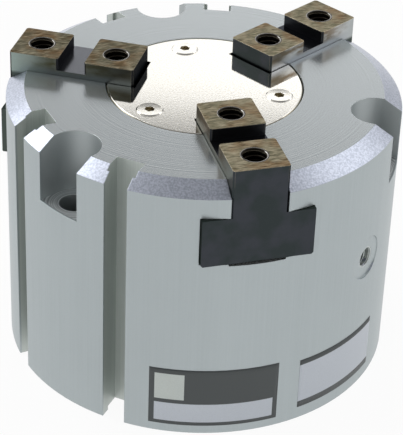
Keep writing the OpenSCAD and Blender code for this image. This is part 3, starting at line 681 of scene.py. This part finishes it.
# colour, roughness, metallic and grain size; the first is the dark print round the fields
labelFinishes = {
    "printedLabelInk": ("#454A4B", 0.45, 0.0, 0.25 * mm),
    "bareLabelFoil": ("#C8CED6", 0.4, 0.25, 0.25 * mm),
    "paleLabelInk": ("#CBD2CE", 0.45, 0.1, 0.25 * mm),
}
labelSteps = 36
labelThickness = 0.06 * mm
# how far a label's back lies under the body's surface
labelSink = 0.03 * mm


# a foil label left bare: a curved panel in small steps, cut so that each field has its own faces
def makeLabel(name, values, materials):
    radius = bodyRadius + labelThickness
    start, end = math.radians(values["from"]), math.radians(values["to"])
    width = (end - start) * radius
    height = values["high"] - values["low"]
    acrossCuts = {width * i / labelSteps for i in range(labelSteps + 1)}
    upCuts = {0.0, height}
    for left, bottom, right, top, index in values["fields"]:
        acrossCuts |= {x * mm for x in (left, right) if 0 < x * mm < width}
        upCuts |= {bottom * mm, top * mm}
    acrossCuts, upCuts = sorted(acrossCuts), sorted(upCuts)
    build = bmesh.new()
    rows = []
    for z in upCuts:
        ring = []
        for x in acrossCuts:
            angle = start + x / radius
            corner = (radius * math.cos(angle), radius * math.sin(angle), values["low"] + z)
            ring.append(build.verts.new(corner))
        rows.append(ring)
    for j in range(len(upCuts) - 1):
        for i in range(len(acrossCuts) - 1):
            face = build.faces.new((rows[j][i], rows[j][i + 1], rows[j + 1][i + 1], rows[j + 1][i]))
            face.smooth = True
            x = (acrossCuts[i] + acrossCuts[i + 1]) / 2 / mm
            z = (upCuts[j] + upCuts[j + 1]) / 2 / mm
            for left, bottom, right, top, index in values["fields"]:
                if left < x < right and bottom < z < top:
                    face.material_index = index
    build.normal_update()
    bmesh.ops.solidify(build, geom=build.faces[:], thickness=labelThickness + labelSink)
    mesh = bpy.data.meshes.new(name)
    bmesh.ops.recalc_face_normals(build, faces=build.faces)
    build.to_mesh(mesh)
    build.free()
    for material in materials:
        mesh.materials.append(material)
    addPiece(name, mesh, "housing")


labelMaterials = [makePlainFinish(name, *finish) for name, finish in labelFinishes.items()]
for labelName, values in labelValues.items():
    makeLabel(labelName, values, labelMaterials)
print("bare labels made")

cameraValues = {
    "azimuth": -16.532,
    "elevation": 32.566,
    "roll": 2.171,
    "distance": 428.26 * mm,
    "aimHeight": 31.07 * mm,
    "lens": 157.09,
    "sensor": 36.0,
    "shiftX": 0.0031,
    "shiftY": -0.0301,
    "clipStart": 0.01,
}


def makeCamera(values):
    azimuth, elevation, roll = (math.radians(values[name]) for name in ("azimuth", "elevation", "roll"))
    back = Vector((math.sin(azimuth) * math.cos(elevation), -math.cos(azimuth) * math.cos(elevation),
                   math.sin(elevation)))
    camera = addObject("camera", bpy.data.cameras.new("camera"))
    camera.data.lens = values["lens"]
    camera.data.sensor_width = values["sensor"]
    camera.data.shift_x = values["shiftX"]
    camera.data.shift_y = values["shiftY"]
    camera.data.clip_start = values["clipStart"]
    turn = (-back).to_track_quat("-Z", "Y").to_matrix() @ Matrix.Rotation(roll, 3, "Z")
    place = Vector((0, 0, values["aimHeight"])) + back * values["distance"]
    camera.matrix_world = Matrix.Translation(place) @ turn.to_4x4()
    bpy.context.scene.camera = camera


makeCamera(cameraValues)

# the floor in metres, the horizon in degrees, and levels where white is 1; overheadFrom and behindRange are
# parts of the direction looked in, up and away from the camera
stageValues = {
    "floorSize": 4.0,
    "floorColour": "#EDEDED",
    "floorGlow": 0.94,
    "floorGap": 0.02 * mm,
    "horizon": 29.8,
    "horizonBlur": 0.9,
    "belowHorizon": 1.2,
    "aboveHorizon": 0.38,
    "overhead": 0.44,
    "overheadFrom": 0.8,
    "behindCamera": 0.45,
    "behindRange": (-0.5, 0.1),
}
# softboxes in the room's dome, and black flags with a level under zero: azimuth and elevation, the radii of
# the even middle and of the edge, and the level
softboxes = [(131, 44, 13, 24, 3.4), (6, 50, 14, 34, 0.15), (40, 13, 9, 24, -0.5), (102, 36, 8, 28, -0.3)]


def directionTo(azimuth, elevation):
    azimuth, elevation = math.radians(azimuth), math.radians(elevation)
    return Vector((math.cos(azimuth) * math.cos(elevation), math.sin(azimuth) * math.cos(elevation),
                   math.sin(elevation)))


# one for the rays of the named kinds, and nothing for the others
def addSeen(tree, rays):
    path = addNode(tree, "ShaderNodeLightPath").outputs
    seen = path[rays[0]]
    for ray in rays[1:]:
        seen = addNode(tree, "ShaderNodeMath", {0: seen, 1: path[ray]}, operation="MAXIMUM")
    return seen


# white paper that glows in the camera's and mirrors' view, so that it stays white and takes a faint shadow
def makeFloor(values):
    half = values["floorSize"] / 2
    mesh = bpy.data.meshes.new("floor")
    corners = [(-half, -half, 0), (half, -half, 0), (half, half, 0), (-half, half, 0)]
    mesh.from_pydata(corners, [], [(0, 1, 2, 3)])
    floor = addObject("floor", mesh)
    floor.location.z = cadLow.z - values["floorGap"]
    material = bpy.data.materials.new("whitePaperFloor")
    tree = emptyTree(material)
    paper = addNode(tree, "ShaderNodeBsdfDiffuse", {"Color": toLinear(values["floorColour"])})
    glow = addNode(tree, "ShaderNodeEmission", {"Color": (1, 1, 1, 1), "Strength": 1.0})
    seen = addSeen(tree, ("Is Camera Ray", "Is Transmission Ray", "Is Glossy Ray"))
    share = addNode(tree, "ShaderNodeMath", {0: seen, 1: values["floorGlow"]}, operation="MULTIPLY")
    mixed = addNode(tree, "ShaderNodeMixShader", {0: share, 1: paper, 2: glow})
    addNode(tree, "ShaderNodeOutputMaterial", {"Surface": mixed})
    mesh.materials.append(material)


# a studio dome: white up to a horizon, grey above it and darker behind the camera, with soft bright patches
def makeWorld(values, patches):
    world = bpy.data.worlds.new("studio")
    bpy.context.scene.world = world
    tree = emptyTree(world)
    direction = addNode(tree, "ShaderNodeTexCoord").outputs["Generated"]
    apart = addNode(tree, "ShaderNodeSeparateXYZ", {0: direction}).outputs
    low, high = (math.sin(math.radians(values["horizon"] + side * values["horizonBlur"] / 2))
                 for side in (-1, 1))
    white = addNode(tree, "ShaderNodeMapRange", {0: apart[2], 1: low, 2: high, 3: 1.0, 4: 0.0})
    dome = addNode(tree, "ShaderNodeMapRange", {0: apart[2], 1: high, 2: values["overheadFrom"],
                                                3: values["aboveHorizon"], 4: values["overhead"]})
    behind, beside = values["behindRange"]
    front = addNode(tree, "ShaderNodeMapRange", {0: apart[1], 1: behind, 2: beside,
                                                 3: values["behindCamera"], 4: 1.0})
    level = addNode(tree, "ShaderNodeMath", {0: dome, 1: front}, operation="MULTIPLY")
    level = addNode(tree, "ShaderNodeMix", {0: white, 1: level, 2: values["belowHorizon"]})
    for azimuth, elevation, middle, rim, strength in patches:
        facing = addNode(tree, "ShaderNodeVectorMath", {0: direction, 1: directionTo(azimuth, elevation)},
                         operation="DOT_PRODUCT")
        start, full = (math.cos(math.radians(reach)) for reach in (rim, middle))
        patch = addNode(tree, "ShaderNodeMapRange", {0: facing, 1: start, 2: full, 4: strength},
                        interpolation_type="SMOOTHSTEP")
        level = addNode(tree, "ShaderNodeMath", {0: level, 1: patch}, operation="ADD")
    seen = addSeen(tree, ("Is Camera Ray", "Is Transmission Ray"))
    level = addNode(tree, "ShaderNodeMix", {0: seen, 1: level, 2: 1.0})
    sky = addNode(tree, "ShaderNodeBackground", {"Color": toLinear("#FFFFFF"), "Strength": level})
    addNode(tree, "ShaderNodeOutputWorld", {"Surface": sky})


# azimuth and elevation in degrees, distance and size in metres, and power in watts
lampValues = {
    "rightSoftbox": (15, 50, 0.8, 0.4, 0.7),
}


def makeLamps(values):
    for name, (azimuth, elevation, distance, size, power) in values.items():
        lamp = bpy.data.lights.new(name, "AREA")
        lamp.shape = "SQUARE"
        lamp.size = size
        lamp.energy = power
        away = directionTo(azimuth, elevation)
        holder = addObject(name, lamp)
        holder.location = away * distance
        holder.rotation_mode = "QUATERNION"
        holder.rotation_quaternion = (-away).to_track_quat("-Z", "Y")


makeFloor(stageValues)
makeWorld(stageValues, softboxes)
makeLamps(lampValues)
bpy.context.scene.view_settings.view_transform = "Standard"
print("floor, world, lamp and camera made")
